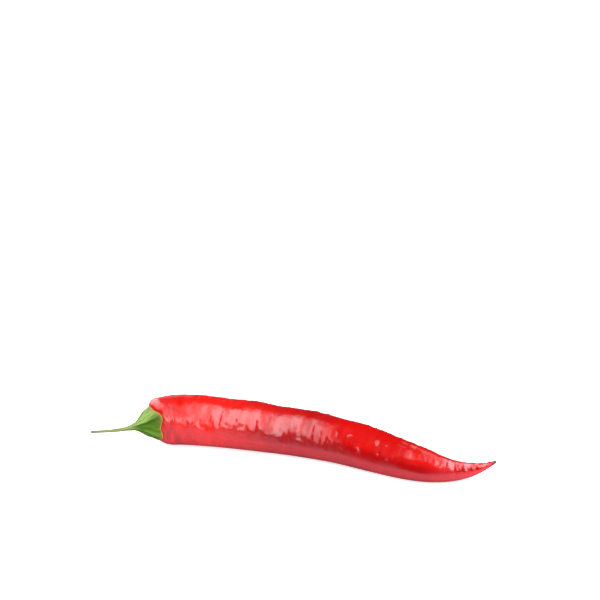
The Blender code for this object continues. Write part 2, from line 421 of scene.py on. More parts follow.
def wire(tree, kind, inputs=(), output=0, **settings):
    """Adds a node, links or sets its inputs by place or by name, and gives one of its outputs."""
    node = tree.nodes.new(kind)
    for name, value in settings.items():
        setattr(node, name, value)
    for key, value in inputs.items() if isinstance(inputs, dict) else enumerate(inputs):
        if isinstance(value, bpy.types.NodeSocket):
            tree.links.new(value, node.inputs[key])
        elif value is not None:
            node.inputs[key].default_value = value
    return node.outputs[output]


def arithmetic(tree, operation, *values):
    """One arithmetic step between numbers."""
    return wire(tree, "ShaderNodeMath", values, operation=operation)


def product(tree, first, *others):
    for other in others:
        first = arithmetic(tree, "MULTIPLY", first, other)
    return first


def total(tree, first, *others):
    for other in others:
        first = arithmetic(tree, "ADD", first, other)
    return first


def inverse(tree, value):
    if isinstance(value, bpy.types.NodeSocket):
        return arithmetic(tree, "DIVIDE", 1.0, value)
    return 1.0 / value


def fade_in(tree, value, start, end, low=0.0, high=1.0):
    """Goes smoothly from low, where the value is at start, to high, where it is at end."""
    return wire(tree, "ShaderNodeMapRange", (value, start, end, low, high), interpolation_type="SMOOTHSTEP")


def band(tree, value, start, full, still_full, end):
    """Rises from 0 at the start to 1, and falls to 0 again at the end."""
    return product(tree, fade_in(tree, value, start, full), fade_in(tree, value, end, still_full))


def half_wave(tree, angle):
    """A wave from 0 to 1 that is 1 at angle 0."""
    return arithmetic(tree, "MULTIPLY_ADD", arithmetic(tree, "COSINE", angle), 0.5, 0.5)


def patches(tree, place, along, around, seed, detail=2.0, roughness=0.5):
    """Noise from -0.5 to 0.5 whose patches have one size along the chilli and another round it."""
    across = inverse(tree, around)
    scale = wire(tree, "ShaderNodeCombineXYZ", (inverse(tree, along), across, across))
    stretched = wire(tree, "ShaderNodeVectorMath", (place, scale), operation="MULTIPLY")
    inputs = {"Vector": stretched, "W": seed, "Scale": 1.0, "Detail": detail, "Roughness": roughness}
    noise = wire(tree, "ShaderNodeTexNoise", inputs, noise_dimensions="4D")
    return arithmetic(tree, "SUBTRACT", noise, 0.5)


def round_way(tree, skin):
    """The way out from the chilli's middle line, of length 1: Y is to the side and Z is up."""
    crosswise = wire(tree, "ShaderNodeVectorMath", (skin, (0.0, 1.0, 1.0)), operation="MULTIPLY")
    return wire(tree, "ShaderNodeVectorMath", (crosswise,), operation="NORMALIZE")


def along_of(tree, skin):
    """How far along the chilli a point is. The pod begins at 0, and the stalk is below 0."""
    return wire(tree, "ShaderNodeSeparateXYZ", (skin,))


def lift_of(tree, skin):
    """How far up the chilli's side a point is, from -1 under the belly to 1 on the back."""
    return wire(tree, "ShaderNodeSeparateXYZ", (round_way(tree, skin),), output="Z")


def relief_tree(name, numbers):
    """An empty relief tree with named inputs. Gives the tree and its inputs' sockets by name."""
    tree = bpy.data.node_groups.new(name, "GeometryNodeTree")
    tree.interface.new_socket("Geometry", in_out="INPUT", socket_type="NodeSocketGeometry")
    for label, value in numbers.items():
        socket = tree.interface.new_socket(label, in_out="INPUT", socket_type="NodeSocketFloat")
        socket.default_value = value
    tree.interface.new_socket("Material", in_out="INPUT", socket_type="NodeSocketMaterial")
    tree.interface.new_socket("Geometry", in_out="OUTPUT", socket_type="NodeSocketGeometry")
    given = tree.nodes.new("NodeGroupInput").outputs
    return tree, given


def finish_relief(tree, given, height, marks):
    """Raises the surface by height along its normals, keeps the marks on it, and gives it its material."""
    normal = wire(tree, "GeometryNodeInputNormal")
    offset = wire(tree, "ShaderNodeVectorMath", {0: normal, "Scale": height}, operation="SCALE")
    shape = wire(tree, "GeometryNodeSetPosition", {"Geometry": given["Geometry"], "Offset": offset})
    for name, value in marks.items():
        inputs = {"Geometry": shape, "Name": name, "Value": value}
        shape = wire(tree, "GeometryNodeStoreNamedAttribute", inputs, data_type="FLOAT", domain="POINT")
    shape = wire(tree, "GeometryNodeRealizeInstances", (shape,))
    shape = wire(tree, "GeometryNodeSetMaterial", {"Geometry": shape, "Material": given["Material"]})
    wire_out = tree.nodes.new("NodeGroupOutput")
    tree.links.new(shape, wire_out.inputs["Geometry"])


def named_attribute(tree, name, data_type="FLOAT"):
    return wire(tree, "GeometryNodeInputNamedAttribute", {"Name": name}, data_type=data_type)


def grow_relief(piece, tree, values, material):
    """Runs the relief tree on the piece and leaves the result as the piece's own plain mesh."""
    modifier = piece.modifiers.new(tree.name, "NODES")
    modifier.node_group = tree
    for item in tree.interface.items_tree:
        if item.in_out == "INPUT" and item.name in values:
            modifier[item.identifier] = values[item.name]
        if item.in_out == "INPUT" and item.name == "Material":
            modifier[item.identifier] = material
    evaluated = piece.evaluated_get(bpy.context.evaluated_depsgraph_get())
    mesh = bpy.data.meshes.new_from_object(evaluated)
    mesh.name = piece.name
    piece.modifiers.remove(modifier)
    piece.data = mesh
    mesh.shade_smooth()


POD_RELIEF = {
    "Seed": 3.0,
    "Dent Depth": 0.60 * MM,
    "Dent Size": 9.0 * MM,
    "Ring Depth": 1.2 * MM,
    "Ring Spacing": 2.8 * MM,
    "Ring Width": 6.0 * MM,
    "Pucker Depth": 0.36 * MM,
    "Pucker Size": 3.2 * MM,
    "Crease Depth": 0.16 * MM,
    "Crease Size": 5.0 * MM,
    "Crease Reach": 26.0 * MM,
    "Tip Ripple Depth": 1.1 * MM,
    "Tip Ripple Spacing": 1.6 * MM,
    "Tip Ripple Reach": 40.0 * MM,
}
RING_SEED = 11.0  # each kind of relief has its own seed, this much above the first
PUCKER_SEED = 23.0
CREASE_SEED = 37.0
RIPPLE_SEED = 53.0
CREASE_STRETCH = 2.2  # how much longer the creases' pattern is round the pod than along it
CREASE_NARROWNESS = 4.5
CREASE_SHARPNESS = 1.5
CREASE_FULL = 4 * MM  # the creases are deepest from the pod's base to here
RIPPLE_STRETCH = 3.0
THIN_SHARE = 0.6  # of the pod's length, from which the relief gets lower towards the tip
TIP_SHARE = 0.2  # of the relief's height is left at the tip
COLLAR_CALM = (0.8 * MM, 5.0 * MM)  # the skin is smooth under the calyx and wrinkled beyond it
FLANK_CALM = (-0.3, 0.35)  # it is smooth low on the flanks and wrinkled above, by how far up the side it is
CREST_CALM = (0.86, 0.97)  # and it is smoother again along the back
CREST_SHARE = 0.35


def shoulder_creases(tree, given, skin):
    """Thin lines, 1 in their middle, that fade along the pod."""
    size = given["Crease Size"]
    seed = total(tree, given["Seed"], CREASE_SEED)
    pattern = patches(tree, skin, size, product(tree, size, CREASE_STRETCH), seed, detail=1.0)
    off_line = product(tree, arithmetic(tree, "ABSOLUTE", pattern), CREASE_NARROWNESS)
    line = arithmetic(tree, "MAXIMUM", arithmetic(tree, "SUBTRACT", 1.0, off_line), 0.0)
    line = arithmetic(tree, "POWER", line, CREASE_SHARPNESS)
    return product(tree, line, fade_in(tree, along_of(tree, skin), given["Crease Reach"], CREASE_FULL))


def tip_ripples(tree, given, skin):
    """Narrow wrinkles round the tip, from -0.5 to 0.5, that set in along the pod."""
    spacing = given["Tip Ripple Spacing"]
    seed = total(tree, given["Seed"], RIPPLE_SEED)
    ripples = patches(tree, skin, spacing, product(tree, spacing, RIPPLE_STRETCH), seed)
    start = arithmetic(tree, "SUBTRACT", SPINE.pod_length, given["Tip Ripple Reach"])
    return product(tree, ripples, fade_in(tree, along_of(tree, skin), start, SPINE.pod_length))


def pod_relief_tree():
    """Dents, wrinkles round the girth, creases by the shoulder and ripples by the tip."""
    tree, given = relief_tree("pod_skin_relief", POD_RELIEF)
    skin = named_attribute(tree, "skin", "FLOAT_VECTOR")
    along = along_of(tree, skin)
    lift = lift_of(tree, skin)
    seed = given["Seed"]

    dents = patches(tree, skin, given["Dent Size"], given["Dent Size"], seed, detail=1.0)
    rings = patches(tree, skin, given["Ring Spacing"], given["Ring Width"], total(tree, seed, RING_SEED))
    pucker_size = given["Pucker Size"]
    puckers = patches(tree, skin, pucker_size, pucker_size, total(tree, seed, PUCKER_SEED), detail=1.0)
    crease = shoulder_creases(tree, given, skin)
    ripples = tip_ripples(tree, given, skin)

    height = total(
        tree,
        product(tree, dents, given["Dent Depth"]),
        product(tree, rings, given["Ring Depth"]),
        product(tree, puckers, given["Pucker Depth"]),
    )
    thin_from = SPINE.pod_length * THIN_SHARE
    height = product(tree, height, fade_in(tree, along, SPINE.pod_length, thin_from, TIP_SHARE, 1.0))
    height = total(tree, height, product(tree, ripples, given["Tip Ripple Depth"]))
    height = arithmetic(tree, "SUBTRACT", height, product(tree, crease, given["Crease Depth"]))
    height = product(
        tree,
        height,
        fade_in(tree, along, *COLLAR_CALM),
        fade_in(tree, lift, *FLANK_CALM),
        fade_in(tree, lift, *CREST_CALM, 1.0, CREST_SHARE),
    )
    finish_relief(tree, given, height, {"crease": crease, "ripple": ripples})
    return tree


# Turns round the calyx are in radians of the ribs' wave, which has one turn for each rib
RIDGE_TURN = 0.6  # how far a rib's ridge lies from its tooth
RIB_SKEW_SHIFT = 0.9  # how far the skew would move a rib
RIB_SHADE_TURN = 0.75  # how far below a rib its shaded line lies
RIB_SHADE_SHARPNESS = 5.0
RIB_SHADE_REACH = (-10 * MM, -6 * MM)  # where the shaded line sets in along the stem
RIB_SHADE_TOP = (0.93, 0.80)  # and where it ends towards the back
RIB_FULL_SHARE = 0.3  # of the ribs' reach has their full height
RIB_MEAN = 0.27  # about the ribs' mean height, which is taken off, so that the calyx keeps its girth
RIB_CREST = (0.75, 0.95)  # the ribs get lower towards the back
RIB_CREST_SHARE = 0.25
RIB_LIP = (0.5 * MM, -2.0 * MM)  # and lower at the lip
RIB_LIP_SHARE = 0.25
VEIN_LENGTH = 6 * MM
VEIN_REACH = (-10 * MM, -3 * MM)  # where the stem's ridges turn into the calyx's veins
KNOBBLE_SEED = 5.0
KNOBBLE_LENGTH = 4 * MM
KNOBBLE_WIDTH = 2 * MM
LIP_CALM_SHARE = 0.03  # of the stalk's rings, past the lip, over which its relief ends
STALK_RELIEF = {
    "Seed": 7.0,
    "Rib Count": float(RIB_COUNT),
    "Rib Turn": RIB_TURN + RIDGE_TURN,
    "Rib Height": 1.0 * MM,
    "Rib Sharpness": 3.5,
    "Rib Skew": 0.5,
    "Rib Reach": 9.0 * MM,
    "Vein Height": 0.34 * MM,
    "Vein Count": 7.0,
    "Stem Ridge Height": 0.10 * MM,
    "Knobble Height": 0.12 * MM,
}


def rib_waves(tree, given, skin):
    """Two waves round the calyx, from 0 to 1. One is 1 on the ribs, and the other on their shaded lines."""
    parts = tree.nodes.new("ShaderNodeSeparateXYZ")
    tree.links.new(skin, parts.inputs[0])
    angle = arithmetic(tree, "ARCTAN2", parts.outputs["Z"], parts.outputs["Y"])
    turned = total(tree, product(tree, angle, given["Rib Count"]), given["Rib Turn"])
    skewed = arithmetic(tree, "MULTIPLY_ADD", given["Rib Skew"], RIB_SKEW_SHIFT, turned)
    bent = product(tree, arithmetic(tree, "COSINE", skewed), given["Rib Skew"])
    wave = half_wave(tree, arithmetic(tree, "SUBTRACT", skewed, bent))
    shade = half_wave(tree, arithmetic(tree, "SUBTRACT", turned, RIB_SHADE_TURN))
    return wave, arithmetic(tree, "POWER", shade, RIB_SHADE_SHARPNESS)


def long_veins(tree, given, skin):
    """Veins that run along the calyx and the stem, from -0.5 to 0.5."""
    inputs = {0: round_way(tree, skin), "Scale": given["Vein Count"]}
    spread = wire(tree, "ShaderNodeVectorMath", inputs, operation="SCALE")
    lengthwise = product(tree, along_of(tree, skin), 1 / VEIN_LENGTH)
    slow = wire(tree, "ShaderNodeCombineXYZ", (lengthwise, 0.0, 0.0))
    place = wire(tree, "ShaderNodeVectorMath", (spread, slow), operation="ADD")
    return patches(tree, place, 1.0, 1.0, given["Seed"], detail=3.0, roughness=0.6)


def stalk_relief_tree():
    """Ribs that run from the stem to the calyx's teeth, veins between them, and the stem's ridges."""
    tree, given = relief_tree("stalk_relief", STALK_RELIEF)
    skin = named_attribute(tree, "skin", "FLOAT_VECTOR")
    along = along_of(tree, skin)
    lift = lift_of(tree, skin)

    wave, shade = rib_waves(tree, given, skin)
    shade = product(tree, shade, fade_in(tree, along, *RIB_SHADE_REACH), fade_in(tree, lift, *RIB_SHADE_TOP))
    start, full = (product(tree, given["Rib Reach"], share) for share in (-1.0, -RIB_FULL_SHARE))
    on_calyx = fade_in(tree, along, start, full)
    rib = arithmetic(tree, "SUBTRACT", arithmetic(tree, "POWER", wave, given["Rib Sharpness"]), RIB_MEAN)
    veins = long_veins(tree, given, skin)
    knobble_seed = total(tree, given["Seed"], KNOBBLE_SEED)
    knobbles = patches(tree, skin, KNOBBLE_LENGTH, KNOBBLE_WIDTH, knobble_seed, detail=1.0)

    rib_height = product(
        tree,
        rib,
        on_calyx,
        given["Rib Height"],
        fade_in(tree, along, *RIB_LIP, RIB_LIP_SHARE, 1.0),
        fade_in(tree, lift, *RIB_CREST, 1.0, RIB_CREST_SHARE),
    )
    vein_height = fade_in(tree, along, *VEIN_REACH, given["Stem Ridge Height"], given["Vein Height"])
    height = total(
        tree,
        rib_height,
        product(tree, veins, vein_height),
        product(tree, knobbles, given["Knobble Height"]),
    )
    share = named_attribute(tree, "share")
    outside = fade_in(tree, share, STALK_SIDE_SHARE + LIP_CALM_SHARE, STALK_SIDE_SHARE)
    marks = {"rib": product(tree, wave, on_calyx), "vein": veins, "shade": shade}
    finish_relief(tree, given, product(tree, height, outside), marks)
    return tree


def display(red, green, blue):
    """A colour given as a screen shows it, from 0 to 255, as the light values that a shader takes."""
    def light(value):
        value = value / 255
        return value / 12.92 if value <= 0.04045 else ((value + 0.055) / 1.055) ** 2.4
    return (light(red), light(green), light(blue), 1.0)


def mixed(tree, share, first, second):
    """The colour that goes from the first to the second as the share goes from 0 to 1."""
    inputs = {0: share, 6: first, 7: second}
    return wire(tree, "ShaderNodeMix", inputs, output=2, data_type="RGBA")


def effect_group(name, inputs, outputs):
    """An empty shared effect. Gives its tree, its inputs' sockets and its output node."""
    group = bpy.data.node_groups.new(name, "ShaderNodeTree")
    for label, value in inputs.items():
        kind = "NodeSocketVector" if value is None else "NodeSocketFloat"
        socket = group.interface.new_socket(label, in_out="INPUT", socket_type=kind)
        if value is not None:
            socket.default_value = value
    for label in outputs:
        group.interface.new_socket(label, in_out="OUTPUT", socket_type="NodeSocketFloat")
    return group, group.nodes.new("NodeGroupInput").outputs, group.nodes.new("NodeGroupOutput").inputs


def mottle_group():
    """Patches of a second colour, of one size along the chilli and another round it."""
    inputs = {"Place": None, "Along": 10 * MM, "Around": 10 * MM, "Seed": 0.0, "Softness": 0.15}
    group, given, result = effect_group("mottle", inputs, ["Share"])
    noise = patches(group, given["Place"], given["Along"], given["Around"], given["Seed"], detail=3.0)
    low = product(group, given["Softness"], -1.0)
    group.links.new(fade_in(group, noise, low, given["Softness"]), result["Share"])
    return group


def fine_grain_group():
    """The fine pitting of a plant's skin, as a height from 0 to 1."""
    inputs = {"Place": None, "Grain Size": 0.5 * MM, "Stretch": 1.0, "Seed": 0.0}
    group, given, result = effect_group("fine_grain", inputs, ["Height"])
    long_way = product(group, given["Grain Size"], given["Stretch"])
    noise = patches(group, given["Place"], long_way, given["Grain Size"], given["Seed"], detail=2.0)
    group.links.new(total(group, noise, 0.5), result["Height"])
    return group


def new_material(name):
    material = bpy.data.materials.new(name)
    material.use_nodes = True
    return material, material.node_tree, material.node_tree.nodes["Principled BSDF"]


def attribute(tree, name, output="Fac"):
    return wire(tree, "ShaderNodeAttribute", output=output, attribute_name=name)


def mottle(tree, place, along, around, seed, softness=0.15):
    values = {"Place": place, "Along": along, "Around": around, "Seed": seed, "Softness": softness}
    return wire(tree, "ShaderNodeGroup", values, node_tree=MOTTLE)


def fine_grain(tree, place, size, stretch, seed):
    values = {"Place": place, "Grain Size": size, "Stretch": stretch, "Seed": seed}
    return wire(tree, "ShaderNodeGroup", values, node_tree=FINE_GRAIN)


def grain_bump(tree, place, size, stretch, seed, strength, height):
    grain = fine_grain(tree, place, size, stretch, seed)
    return wire(tree, "ShaderNodeBump", {"Strength": strength, "Distance": height, "Height": grain})


def layered(tree, colour, layers):
    """The colour with each layer over it in turn. A layer is its share and its own colour."""
    for share, layer in layers:
        colour = mixed(tree, share, colour, layer)
    return colour


def use(tree, value, shader, socket):
    tree.links.new(value, shader.inputs[socket])


SKIN_RED = display(161, 8, 10)
SKIN_ORANGE = display(226, 28, 18)
# a deeper red: the skin's deeper patches, and painted shade along the flank and in the tip's line
SKIN_DEEP_AND_SHADE = display(134, 0, 7)
# painted shade: the darker red in the skin's creases
SKIN_CREASE_SHADE = display(104, 0, 8)
# painted light: the lighter, rosier red of the tip
TIP_PAINTED_GLOW = display(222, 42, 46)
TIP_DARK = display(110, 20, 14)
ORANGE_REACH = (14 * MM, 72 * MM)  # how far from the calyx the more orange red goes
TIP_GLOW_REACH = (102 * MM, 128 * MM)  # how far from the calyx the painted light sets in that turns the tip lighter and rosier, for the light it lets through and the floor's reflection
TIP_DARK_LENGTH = 3.5 * MM
WIDE_PATCHES = (22 * MM, 12 * MM, 2.0)  # of each pattern: its patches' length and width, and its seed
NARROW_PATCHES = (3.5 * MM, 9 * MM, 5.0)
GLOSS_COLUMNS = (3.8 * MM, 12 * MM, 8.0)
PATCH_SOFTNESS = 0.3
WIDE_SHARE = 0.5
NARROW_SHARE = 0.3
CREASE_SHADE_SHARE = 0.5
SKIN_GRAIN = {"size": 0.55 * MM, "stretch": 1.0, "seed": 1.0, "strength": 0.4, "height": 0.03 * MM}

# The skin's gloss is a coat over it
COAT_ROUGHNESS = 0.23
COAT_IOR = 1.92
COLUMN_GLOSS = 0.4
COLUMN_ROUGHNESS = (0.30, 0.42)  # of the skin under the coat, beside the columns and in them
DULL_PATCHES = (  # the middle of each patch with little gloss on the straight pod, its size, and its gloss
    (Vector((85, -4.1, 7.1)) * MM, Vector((17, 7.6, 7.6)) * MM, 0.04),
    (Vector((103, -6.0, 2.6)) * MM, Vector((9, 2.4, 2.4)) * MM, 0.04),
    (Vector((106, -2.6, 5.4)) * MM, Vector((6, 4.5, 4.5)) * MM, 0.22),
    (Vector((11, -5.4, 7.6)) * MM, Vector((8, 4, 4)) * MM, 0.45),
)
DULL_EDGE = (0.85, 1.3)  # where a dull patch's edge begins and ends, in shares of the patch's size
DULL_EDGE_RAGGEDNESS = 0.25
SPECKS = (2.2 * MM, 2.8 * MM, 14.0)  # that stay glossy in the dull patches: their length, width and seed
SPECK_EDGE = (0.18, 0.26)
SPECK_GLOSS = 0.6

# Bands of painted shade along the flank, by how far up the side each one starts, is full, is still full and
# ends
FLANK_SHADE_BAND = (-0.16, 0.04, 0.28, 0.60)
FLANK_SHADE_SHARE = 0.62
FLANK_SHADE_REACH = (20 * MM, 55 * MM)  # where along the pod it sets in
TIP_SHADE_FLANK = (0.24, 0.44, 0.58, 0.76)
TIP_SHADE_REACH = (112 * MM, 120 * MM)
TIP_SHADE_RIPPLE = (0.06, -0.06)  # how high a ripple is where the painted shade is faintest and where it is darkest
TIP_SHADE_SHARE = (0.15, 0.9)


def gloss_left(tree, skin, columns):
    """How glossy the skin is: less in ragged columns, and hardly in the dull patches."""
    columns = product(tree, columns, fade_in(tree, lift_of(tree, skin), *FLANK_CALM))
    gloss = fade_in(tree, columns, 0.0, 1.0, 1.0, COLUMN_GLOSS)
    for middle, size, left in DULL_PATCHES:
        off_middle = wire(tree, "ShaderNodeVectorMath", (skin, middle), operation="SUBTRACT")
        in_sizes = wire(tree, "ShaderNodeVectorMath", (off_middle, size), operation="DIVIDE")
        reach = wire(tree, "ShaderNodeVectorMath", (in_sizes,), output="Value", operation="LENGTH")
        ragged = total(tree, reach, product(tree, columns, DULL_EDGE_RAGGEDNESS))
        gloss = product(tree, gloss, fade_in(tree, ragged, *DULL_EDGE, left, 1.0))
    specks = patches(tree, skin, *SPECKS, detail=0.0)
    return arithmetic(tree, "MAXIMUM", gloss, fade_in(tree, specks, *SPECK_EDGE, 0.0, SPECK_GLOSS))


def flank_shade(tree, skin, along):
    """The band of painted shade along the flank, in a deeper red."""
    in_band = band(tree, lift_of(tree, skin), *FLANK_SHADE_BAND)
    return product(tree, in_band, FLANK_SHADE_SHARE, fade_in(tree, along, *FLANK_SHADE_REACH))


def tip_shade_line(tree, skin, along):
    """A ragged line of painted shade along the tip's flank, darkest where its ripples are deepest, for the
    dark gap between the tip's reflections.
    """
    in_band = band(tree, lift_of(tree, skin), *TIP_SHADE_FLANK)
    ragged = fade_in(tree, attribute(tree, "ripple"), *TIP_SHADE_RIPPLE, *TIP_SHADE_SHARE)
    return product(tree, in_band, fade_in(tree, along, *TIP_SHADE_REACH), ragged)


def pod_material():
    """Glossy red skin: a mottle of deeper and more orange red, painted shade in its creases, along its flank
    and in a line on the tip, painted light towards the tip, and a dull tip.
    """
    material, tree, shader = new_material("ripe_skin")
    skin = attribute(tree, "skin", "Vector")
    along = along_of(tree, skin)
    wide = mottle(tree, skin, *WIDE_PATCHES, PATCH_SOFTNESS)
    narrow = mottle(tree, skin, *NARROW_PATCHES, PATCH_SOFTNESS)
    columns = mottle(tree, skin, *GLOSS_COLUMNS)
    near_calyx = fade_in(tree, along, *reversed(ORANGE_REACH))
    length = SPINE.pod_length
    layers = (
        (arithmetic(tree, "MAXIMUM", product(tree, wide, WIDE_SHARE), near_calyx), SKIN_ORANGE),
        (product(tree, narrow, NARROW_SHARE), SKIN_DEEP_AND_SHADE),
        (flank_shade(tree, skin, along), SKIN_DEEP_AND_SHADE),
        (product(tree, attribute(tree, "crease"), CREASE_SHADE_SHARE), SKIN_CREASE_SHADE),
        (fade_in(tree, along, *TIP_GLOW_REACH), TIP_PAINTED_GLOW),
        (tip_shade_line(tree, skin, along), SKIN_DEEP_AND_SHADE),
        (fade_in(tree, along, length - TIP_DARK_LENGTH, length), TIP_DARK),
    )
    use(tree, layered(tree, SKIN_RED, layers), shader, "Base Color")
    use(tree, gloss_left(tree, skin, columns), shader, "Coat Weight")
    use(tree, fade_in(tree, columns, 0.0, 1.0, *COLUMN_ROUGHNESS), shader, "Roughness")
    use(tree, grain_bump(tree, skin, **SKIN_GRAIN), shader, "Normal")
    shader.inputs["Coat Roughness"].default_value = COAT_ROUGHNESS
    shader.inputs["Coat IOR"].default_value = COAT_IOR
    shader.inputs["Specular IOR Level"].default_value = 0.0
    return material


CALYX_GREEN = display(80, 124, 20)
CALYX_LIGHT = display(106, 150, 44)
# the darkest green: the calyx's dark veins, and painted shade in the valleys between the ribs
CALYX_DARK_AND_SHADE = display(46, 88, 4)
# painted shade in the line under each rib
CALYX_PAINTED_SHADE = display(40, 76, 4)
CALYX_OLIVE = display(98, 114, 44)
# painted sheen on the calyx's upper side
CALYX_PAINTED_SHEEN = display(136, 166, 84)
CALYX_RIM = display(150, 134, 62)
CALYX_DRY = display(128, 108, 42)
STEM_OLIVE = display(140, 152, 92)
STEM_DARK = display(98, 112, 58)
STEM_GREY = display(118, 120, 98)
OLIVE_PATCHES = (7 * MM, 4 * MM, 4.0, 0.2)  # their length, width, seed and softness
OLIVE_SHARE = 0.4
SHADE_SHARE = 0.85
STEM_REACH = (-5 * MM, -11 * MM)  # where the calyx's greens turn into the stem's
STEM_DRY = (-18 * MM, -STEM_LENGTH)  # the stem dries out and turns grey towards its cut end
CALYX_DRY_SHARE = 0.26  # of the stalk's rings lie on the calyx's drier edge
CALYX_RIM_SHARE = 0.02
SHEEN_ON_BACK = (0.50, 0.68)  # painted sheen: the calyx is paler on its upper side, where the light catches it, by how far up the side it is
STALK_SPECULAR = 0.14
STALK_GRAIN = {"size": 0.18 * MM, "stretch": 8.0, "seed": 3.0, "strength": 0.5, "height": 0.05 * MM}

# How a mark fades in: from which value of it to which, and what it gives at both if not 0 and 1
VEIN_GREEN = (-0.12, 0.12)
VEIN_LIGHT = (0.06, 0.22, 0.0, 0.7)
VEIN_IN_SHEEN = (-0.12, 0.10, 0.15, 0.9)
RIB_VALLEY_SHADE = (0.25, 0.0, 0.0, 0.35)
RIB_LIGHT = (0.55, 1.0, 0.0, 0.6)
STEM_VEIN = (-0.15, 0.15)
DRY_IN_OLIVE = (0.0, 1.0, 0.45, 0.9)
VEIN_ROUGHNESS = (-0.3, 0.3, 0.52, 0.36)


def stalk_material():
    """Fresh green with lighter ribs, painted shade in the valleys and under each rib, a painted sheen on its
    upper side, and a drier, greyer stem.
    """
    material, tree, shader = new_material("fresh_stalk")
    skin = attribute(tree, "skin", "Vector")
    along = along_of(tree, skin)
    rib = attribute(tree, "rib")
    vein = attribute(tree, "vein")
    share = attribute(tree, "share")
    olive = mottle(tree, skin, *OLIVE_PATCHES)
    painted_sheen = fade_in(tree, lift_of(tree, skin), *SHEEN_ON_BACK)
    stem = mixed(tree, fade_in(tree, vein, *STEM_VEIN), STEM_DARK, STEM_OLIVE)
    dry_edge = fade_in(tree, share, STALK_SIDE_SHARE - CALYX_DRY_SHARE, STALK_SIDE_SHARE)
    layers = (
        (fade_in(tree, vein, *VEIN_GREEN), CALYX_GREEN),
        (product(tree, olive, OLIVE_SHARE), CALYX_OLIVE),
        (fade_in(tree, vein, *VEIN_LIGHT), CALYX_LIGHT),
        # painted shade in the valleys between the ribs
        (fade_in(tree, rib, *RIB_VALLEY_SHADE), CALYX_DARK_AND_SHADE),
        (fade_in(tree, rib, *RIB_LIGHT), CALYX_LIGHT),
        (product(tree, painted_sheen, fade_in(tree, vein, *VEIN_IN_SHEEN)), CALYX_PAINTED_SHEEN),
        (product(tree, attribute(tree, "shade"), SHADE_SHARE), CALYX_PAINTED_SHADE),
        (fade_in(tree, along, *STEM_REACH), stem),
        (fade_in(tree, along, *STEM_DRY), STEM_GREY),
        (product(tree, dry_edge, fade_in(tree, olive, *DRY_IN_OLIVE)), CALYX_DRY),
        (fade_in(tree, share, STALK_SIDE_SHARE - CALYX_RIM_SHARE, STALK_SIDE_SHARE), CALYX_RIM),
    )
    use(tree, layered(tree, CALYX_DARK_AND_SHADE, layers), shader, "Base Color")
    use(tree, fade_in(tree, vein, *VEIN_ROUGHNESS), shader, "Roughness")
    use(tree, grain_bump(tree, skin, **STALK_GRAIN), shader, "Normal")
    shader.inputs["Specular IOR Level"].default_value = STALK_SPECULAR
    return material


DRY_BROWN = display(96, 62, 40)
DRY_GREY = display(120, 110, 92)
PITH_PALE = display(196, 196, 150)
PITH_GREEN = display(140, 150, 92)
TIP_SCAR_GRAIN = 0.3 * MM
PITH_GRAIN = 0.15 * MM
DRY_SPOT_LENGTH = 3  # in grains
DRY_SPOT_WIDTH = 2
DRY_ROUGHNESS = (0.85, 0.65)
DRY_BUMP_STRENGTH = 0.8
DRY_BUMP_HEIGHT = 0.1 * MM


def dry_material(name, first, second, grain_size, seed):
    """Dull plant fibre that has dried: two colours in patches, and a coarse grain."""
    material, tree, shader = new_material(name)
    place = wire(tree, "ShaderNodeTexCoord", output="Object")
    spots = mottle(tree, place, grain_size * DRY_SPOT_LENGTH, grain_size * DRY_SPOT_WIDTH, seed)
    bump = grain_bump(tree, place, grain_size, 1.0, seed, DRY_BUMP_STRENGTH, DRY_BUMP_HEIGHT)
    use(tree, mixed(tree, spots, first, second), shader, "Base Color")
    use(tree, fade_in(tree, spots, 0.0, 1.0, *DRY_ROUGHNESS), shader, "Roughness")
    use(tree, bump, shader, "Normal")
    return material


FLOOR_WHITE = (0.96, 0.96, 0.96, 1.0)
FLOOR_SHADE = (0.92, 0.92, 0.92, 1.0)
FLOOR_GRAIN = (0.8 * MM, 1.0, 9.0)  # its size, stretch and seed
FLOOR_GRAIN_SHARE = 0.3
FLOOR_ROUGHNESS = 0.9
FLOOR_BOUNCE = (0.80, 0.80, 0.80, 1.0)  # how bright the floor is as a light for the chilli
FLOOR_NEAR_SHINE = (0.26, 0.26, 0.33, 1.0)  # how bright the chilli's gloss shows the floor beside it
FLOOR_FAR_SHINE = (0.01, 0.01, 0.01, 1.0)
LYING_SLOPE = -0.254  # of the line on the floor that the pod lies along
SHINE_EDGE = (19 * MM, 26 * MM)  # how far in front of that line the floor's shine ends
SHINE_WIDENS = (-5 * MM, -45 * MM)  # it reaches further and further in front of the pod's stalk end
SHINE_WIDER = 70 * MM
FLOOR_GLOW = 0.6  # how far the floor's white shines through the chilli's shadow
WHITE_FADE = (0.10, 0.30)  # how far from the chilli the floor turns pure white


def floor_shine(tree, place):
    """What the chilli's gloss shows of the floor: dim grey beside the pod, and dark further in front."""
    parts = tree.nodes.new("ShaderNodeSeparateXYZ")
    tree.links.new(place, parts.inputs[0])
    lying_line = product(tree, parts.outputs["X"], LYING_SLOPE)
    wider = fade_in(tree, parts.outputs["X"], *SHINE_WIDENS, 0.0, SHINE_WIDER)
    in_front = arithmetic(tree, "SUBTRACT", lying_line, parts.outputs["Y"])
    in_front = arithmetic(tree, "SUBTRACT", in_front, wider)
    return mixed(tree, fade_in(tree, in_front, *SHINE_EDGE), FLOOR_NEAR_SHINE, FLOOR_FAR_SHINE)


